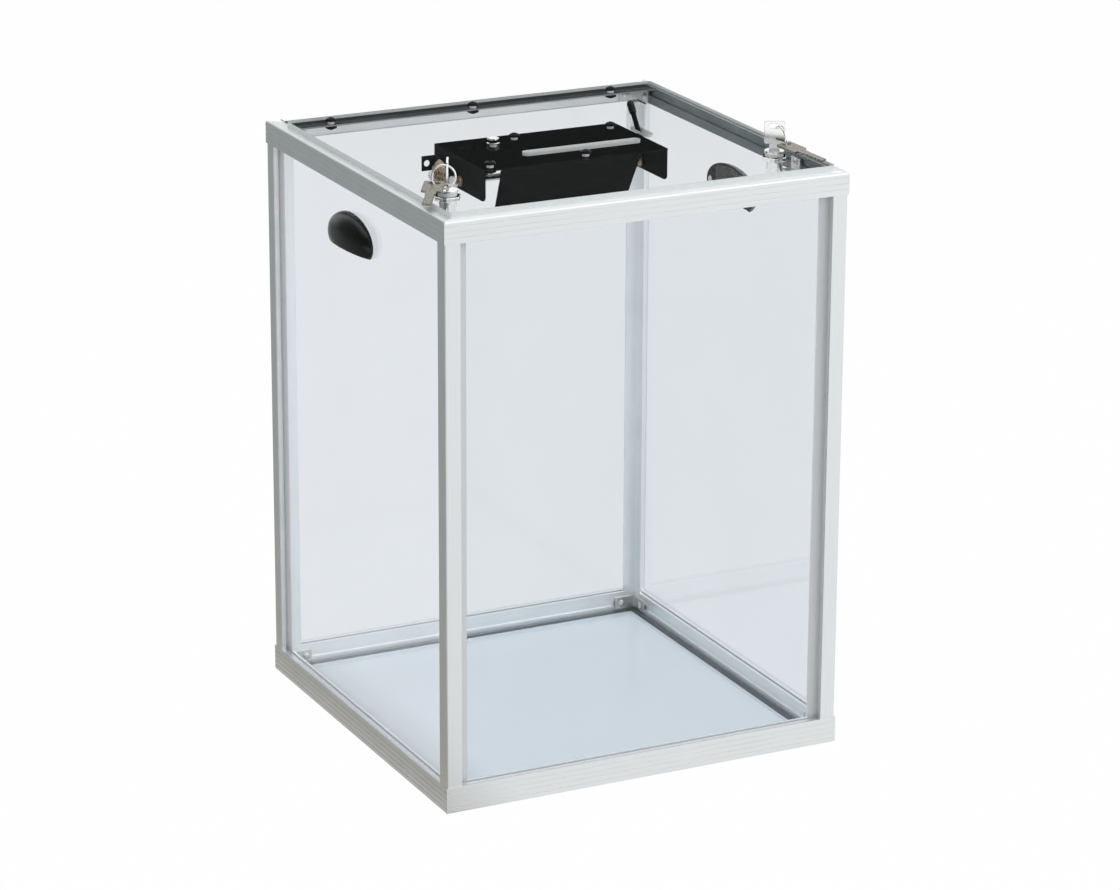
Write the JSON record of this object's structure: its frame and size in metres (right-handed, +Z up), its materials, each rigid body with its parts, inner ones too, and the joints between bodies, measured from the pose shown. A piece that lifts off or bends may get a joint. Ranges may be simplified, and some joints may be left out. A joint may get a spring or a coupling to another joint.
{
  "type": "donation box",
  "caption": "Clear donation box with a metal frame, a locking hinged lid, and a lever-worked slot with a counter and bell under the lid.",
  "frame": {"origin": "middle of the footprint, on the floor", "axes": "+Z up, -Y to the front edge where the locks are, +Y to the hinge, +X to the lever's side"},
  "size_m": [0.42, 0.4, 0.5845],
  "materials": {
    "anodised_aluminium": "satin anodised",
    "clear_acrylic": "clear polished acrylic",
    "black_steel": "black oxide, semi-gloss",
    "black_shell_plastic": "moulded, semi-gloss",
    "hinge_steel": "brushed",
    "plated_steel": "zinc plated",
    "nickel_plate": "polished nickel plate",
    "bush_bronze": "machined bronze",
    "gong_bronze": "turned, brown lacquer",
    "wheel_plastic": "matte white",
    "grip_rubber": "matte black"
  },
  "bodies": {
    "frame": {"base_rail_front": "anodised_aluminium", "base_rail_right": "anodised_aluminium", "base_rail_back": "anodised_aluminium", "base_rail_left": "anodised_aluminium", "post_front_left": "anodised_aluminium", "post_front_right": "anodised_aluminium", "post_back_right": "anodised_aluminium", "post_back_left": "anodised_aluminium", "top_rail_front": "anodised_aluminium", "top_rail_right": "anodised_aluminium", "top_rail_back": "anodised_aluminium", "top_rail_left": "anodised_aluminium", "panel_front": "clear_acrylic", "panel_right": "clear_acrylic", "panel_back": "clear_acrylic", "panel_left": "clear_acrylic", "floor_panel": "clear_acrylic", "base_corner_brackets": "plated_steel", "top_corner_brackets": "plated_steel", "frame_screws": "plated_steel", "handle_left": "black_shell_plastic", "handle_right": "black_shell_plastic", "lock_keepers": "plated_steel", "hinge_fixed_leaf": "hinge_steel", "hinge_pin": "plated_steel"},
    "lid": {"lid_panel": "clear_acrylic", "hinge_moving_leaf": "black_steel", "lid_screws": "black_steel", "slot_housing": "black_steel", "slot_chute": "black_steel", "shutter_guides": "plated_steel", "shaft_bushes": "bush_bronze", "return_spring": "plated_steel", "counter_case": "black_steel", "counter_axle": "plated_steel", "counter_carry_wheels": "wheel_plastic", "counter_stud": "plated_steel", "bell_bracket": "black_steel", "bell_gong": "gong_bronze", "bell_stud": "plated_steel", "lock_body_left": "nickel_plate", "lock_body_right": "nickel_plate", "lock_nuts": "nickel_plate"},
    "lever": {"lever_shaft": "plated_steel", "lever_arm": "black_steel", "lever_grip": "grip_rubber", "shutter_crank": "plated_steel", "bell_striker": "plated_steel"},
    "shutter": {"shutter_plate": "plated_steel"},
    "counter_units": {"counter_units_wheel": "wheel_plastic"},
    "lock_left": {"lock_plug_left": "nickel_plate", "lock_cam_left": "nickel_plate"},
    "lock_right": {"lock_plug_right": "nickel_plate", "lock_cam_right": "nickel_plate"},
    "key_left": {"key_left": "nickel_plate", "key_ring_left": "nickel_plate", "spare_key_left": "nickel_plate"},
    "key_right": {"key_right": "nickel_plate", "key_ring_right": "nickel_plate", "spare_key_right": "nickel_plate"}
  },
  "joints": [
    {"name": "lid_hinge", "type": "hinge", "parent": "frame", "child": "lid", "pos_m": [0, 0.1745, 0.5515], "axis": [-1, 0, 0], "range_deg": [0, 130]},
    {"name": "lock_left_turn", "type": "hinge", "parent": "lid", "child": "lock_left", "pos_m": [-0.163, -0.127, 0.555], "axis": [0, 0, -1], "range_deg": [0, 90]},
    {"name": "lock_right_turn", "type": "hinge", "parent": "lid", "child": "lock_right", "pos_m": [0.163, -0.127, 0.555], "axis": [0, 0, 1], "range_deg": [0, 90]},
    {"name": "key_left_pull", "type": "slide", "parent": "lock_left", "child": "key_left", "axis": [0, 0, 1], "range_m": [0, 0.022]},
    {"name": "key_right_pull", "type": "slide", "parent": "lock_right", "child": "key_right", "axis": [0, 0, 1], "range_m": [0, 0.022]},
    {"name": "lever_pull", "type": "hinge", "parent": "lid", "child": "lever", "pos_m": [0.093, -0.012, 0.528], "axis": [1, 0, 0], "range_deg": [0, 40], "stiffness_Nm_per_rad": 0.05, "springref_deg": -34.38},
    {"name": "shutter_slide", "type": "slide", "parent": "lid", "child": "shutter", "axis": [0, -1, 0], "range_m": [0, 0.0117]},
    {"name": "counter_units_turn", "type": "hinge", "parent": "lid", "child": "counter_units", "pos_m": [-0.0685, 0.018, 0.53649], "axis": [1, 0, 0], "range_deg": [0, 36.1]}
  ],
  "couplings": [
    {"joint": "shutter_slide", "follows": "lever_pull", "m_per_rad": 0.01666},
    {"joint": "counter_units_turn", "follows": "lever_pull", "ratio": 0.9}
  ]
}
